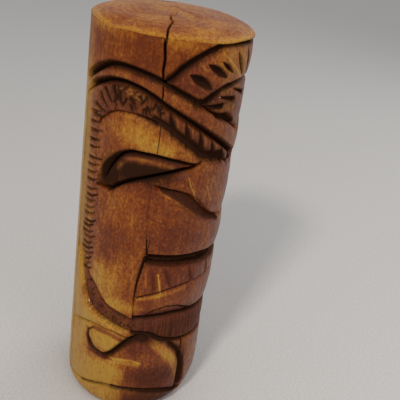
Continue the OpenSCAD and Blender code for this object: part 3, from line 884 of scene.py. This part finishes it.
class Nodes:
    """Short calls for building one material's node tree."""

    def __init__(self, material):
        material.use_nodes = True
        self.tree = material.node_tree
        self.tree.nodes.clear()

    def add(self, kind, inputs=(), **settings):
        """A node with its settings; inputs maps a socket to a value or another socket."""
        node = self.tree.nodes.new(kind)
        for key, value in settings.items():
            setattr(node, key, value)
        for key, value in dict(inputs).items():
            if isinstance(value, bpy.types.NodeSocket):
                self.tree.links.new(value, node.inputs[key])
            else:
                node.inputs[key].default_value = value
        return node

    def attribute(self, name):
        return self.add("ShaderNodeAttribute", attribute_name=name).outputs["Fac"]

    def math(self, operation, a, b=0.0, clamp=False):
        return self.add(
            "ShaderNodeMath", {0: a, 1: b}, operation=operation, use_clamp=clamp
        ).outputs[0]

    def noise(self, scale, stretch=(1, 1, 1), detail=4.0, distortion=0.0, roughness=0.55):
        """Noise over the log, squeezed along its length by the last part of stretch."""
        where = self.add("ShaderNodeTexCoord").outputs["Object"]
        mapped = self.add("ShaderNodeMapping", {"Vector": where, "Scale": stretch})
        return self.add("ShaderNodeTexNoise", {
            "Vector": mapped.outputs[0], "Scale": scale, "Detail": detail,
            "Distortion": distortion, "Roughness": roughness,
        }).outputs["Fac"]

    def ramp(self, value, stops, interpolation="LINEAR"):
        node = self.add("ShaderNodeValToRGB", {"Fac": value})
        ramp = node.color_ramp
        ramp.interpolation = interpolation
        while len(ramp.elements) < len(stops):
            ramp.elements.new(0.5)
        for element, (position, colour) in zip(ramp.elements, stops):
            element.position, element.color = position, colour
        return node.outputs["Color"]

    def mix(self, amount, a, b, blend="MIX"):
        node = self.add(
            "ShaderNodeMix", {0: amount, 6: a, 7: b}, data_type="RGBA", blend_type=blend
        )
        return node.outputs[2]


def end_grain(n):
    """Growth rings round a pith that lies off the log's centre."""
    where = n.add("ShaderNodeTexCoord").outputs["Object"]
    moved = n.add("ShaderNodeMapping", {"Vector": where, "Location": (0.009, -0.006, 0)})
    return n.add("ShaderNodeTexWave", {
        "Vector": moved.outputs[0], "Scale": 90.0, "Distortion": 7.0, "Detail": 4.0,
        "Detail Scale": 0.9, "Detail Roughness": 0.7,
    }, wave_type="RINGS", rings_direction="Z").outputs["Fac"]


def wood_colour(n, tint):
    """Stain over grain: pale sapwood to red-brown, near black in the deep cuts from stain and
    painted shade.
    """
    streaks = n.noise(330, (1, 1, 0.12), 5, 0.3)
    mottle = n.noise(760, (1, 1, 0.7), 5, 0.3, 0.75)
    clouds = n.noise(110, (1, 1, 0.7), 4, 0.5)
    pores = n.noise(1100, (1, 1, 0.06), 2, 0.0)
    value = n.attribute("tone")
    for texture, amount in ((streaks, 0.5), (mottle, 1.75), (clouds, 0.45)):
        centred = n.math("SUBTRACT", texture, 0.5)
        value = n.math("ADD", value, n.math("MULTIPLY", centred, amount))
    rings = n.math("MULTIPLY", n.math("SUBTRACT", end_grain(n), 0.5), 0.13)
    value = n.math("ADD", value, n.math("MULTIPLY", rings, n.attribute("top")), True)
    colour = n.ramp(value, [(0.0, PALE), (0.34, GOLD), (0.64, ORANGE), (1.0, RED)])
    colour = n.mix(tint[0], colour, tint[1])
    grain = n.ramp(pores, [(0.32, (0.62, 0.5, 0.45, 1)), (0.5, (1, 1, 1, 1))])
    colour = n.mix(0.4, colour, grain, "MULTIPLY")
    # Deep stain and painted shade: the dark attribute mixes the wood towards SHADE.
    shade = n.math("MULTIPLY", n.attribute("dark"), n.math("ADD", mottle, 0.6), True)
    return n.mix(shade, colour, SHADE), shade, streaks, pores


def wood(name, roughness, coat, tint):
    """One of the log's finishes. Cuts that hold much stain, and hollows with painted shade, shine
    less.
    """
    material = bpy.data.materials.new(name)
    n = Nodes(material)
    colour, shade, streaks, pores = wood_colour(n, tint)
    waves = n.noise(240, (1, 1, 0.35), 3, 0.2)
    height = n.math("ADD", n.math("MULTIPLY", streaks, 0.6), n.math("MULTIPLY", pores, 0.3))
    height = n.math("ADD", height, waves)
    bump = n.add("ShaderNodeBump", {"Height": height, "Strength": 0.4, "Distance": 0.0006})
    beads = n.add("ShaderNodeBump", {
        "Height": n.noise(420, (1, 1, 0.6), 2), "Strength": 1.0, "Distance": 0.0022,
    })
    dull = n.math("ADD", n.math("MULTIPLY", n.noise(120, (1, 1, 0.5), 2), 0.22), roughness)
    dull = n.math("ADD", dull, n.math("MULTIPLY", shade, 0.3))
    bare = n.math("SUBTRACT", 1.0, shade)
    shader = n.add("ShaderNodeBsdfPrincipled", {
        "Base Color": colour, "Roughness": dull, "Normal": bump.outputs[0], "IOR": 1.5,
        "Specular IOR Level": n.math("MULTIPLY", bare, 0.1),
        "Specular Tint": (1, 0.7, 0.42, 1),
        "Coat Weight": n.math("MULTIPLY", bare, coat), "Coat Roughness": 0.05,
        "Coat Normal": beads.outputs[0],
    })
    n.add("ShaderNodeOutputMaterial", {"Surface": shader.outputs[0]})
    return material


MATERIALS = {
    "red_stain": wood("red_stain", 0.34, 0.38, (0.0, ORANGE)),
    "dark_stain": wood("dark_stain", 0.38, 0.38, (0.25, (0.080, 0.022, 0.006, 1))),
    "plum_stain": wood("plum_stain", 0.46, 0.1, (0.5, (0.100, 0.032, 0.024, 1))),
    "amber_wood": wood("amber_wood", 0.34, 0.38, (0.05, GOLD)),
    "pale_wood": wood("pale_wood", 0.34, 0.38, (0.10, PALE)),
    "end_grain": wood("end_grain", 0.36, 0.22, (0.05, GOLD)),
}
# The heart is coloured all SHADE: painted shade at the foot of the deepest cuts.
HEART_SHADE = wood("heart_painted_shade", 0.6, 0.0, (1.0, SHADE))


# ---- Studio ----
def build_camera():
    """Above the figure's right front, tipped as a hand-held picture is."""
    distance, elevation, middle = 342.0, math.radians(29.3), 112
    pan, tilt, roll = (math.radians(a) for a in (-4.54, 2.06, -7.11))
    eye = Vector((-distance * math.cos(elevation), 0, middle + distance * math.sin(elevation)))
    forward = Vector((math.cos(elevation), 0, -math.sin(elevation)))
    right = Vector((0, -1, 0))
    up = right.cross(forward)
    turn = Matrix.Rotation(pan, 3, up)
    forward, right = turn @ forward, turn @ right
    turn = Matrix.Rotation(tilt, 3, right)
    forward, up = turn @ forward, turn @ up
    turn = Matrix.Rotation(roll, 3, forward)
    right, up = turn @ right, turn @ up
    axes = Matrix((right, up, -forward)).transposed()
    swing = Matrix.Rotation(math.radians(15), 3, "Z")
    data = bpy.data.cameras.new("camera")
    data.lens, data.sensor_width = 54, 36
    data.clip_start, data.clip_end = 0.02, 20
    camera = bpy.data.objects.new("camera", data)
    camera.matrix_world = Matrix.Translation(swing @ eye * MM) @ (swing @ axes).to_4x4()
    bpy.context.scene.collection.objects.link(camera)
    bpy.context.scene.camera = camera


def build_floor():
    """A pale table top."""
    bpy.ops.mesh.primitive_plane_add(size=6)
    floor = bpy.context.object
    floor.name = "floor"
    material = bpy.data.materials.new("table_top")
    n = Nodes(material)
    speck = n.noise(700, (1, 1, 1), 2)
    colour = n.ramp(speck, [(0.3, (0.50, 0.48, 0.46, 1)), (0.7, (0.58, 0.56, 0.54, 1))])
    shader = n.add("ShaderNodeBsdfPrincipled", {"Base Color": colour, "Roughness": 0.6})
    n.add("ShaderNodeOutputMaterial", {"Surface": shader.outputs[0]})
    floor.data.materials.append(material)


def add_light(name, place_m, size, power, colour=(1, 1, 1)):
    """A soft square light that faces the middle of the figure."""
    data = bpy.data.lights.new(name, "AREA")
    data.size, data.energy, data.color = size, power, colour
    light = bpy.data.objects.new(name, data)
    light.location = place_m
    aim = Vector((0, 0, RIM_Z / 2 * MM)) - light.location
    light.rotation_euler = aim.to_track_quat("-Z", "Y").to_euler()
    bpy.context.scene.collection.objects.link(light)


def build_lights():
    add_light("key", (-0.82, 0.14, 0.95), 0.14, 6.6, (1.0, 0.98, 0.95))
    add_light("fill", (-0.6, -0.9, 0.7), 0.9, 2.4)
    add_light("rim", (0.7, -0.5, 0.8), 0.6, 2.2)
    world = bpy.data.worlds.new("studio")
    world.use_nodes = True
    background = world.node_tree.nodes["Background"]
    background.inputs["Color"].default_value = (0.92, 0.93, 0.95, 1)
    background.inputs["Strength"].default_value = 0.55
    bpy.context.scene.world = world


def dress_heart():
    """The heart stays as the CAD made it, and shows only at the foot of the deepest cuts.
    It is coloured as painted shade there.
    """
    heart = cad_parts["heart"]
    heart.data.materials.clear()
    heart.data.materials.append(HEART_SHADE)


bpy.context.scene.view_settings.view_transform = "Standard"
build_camera()
for member in MEMBERS:
    build_member(member)
build_crown()
build_base()
dress_heart()
build_floor()
build_lights()
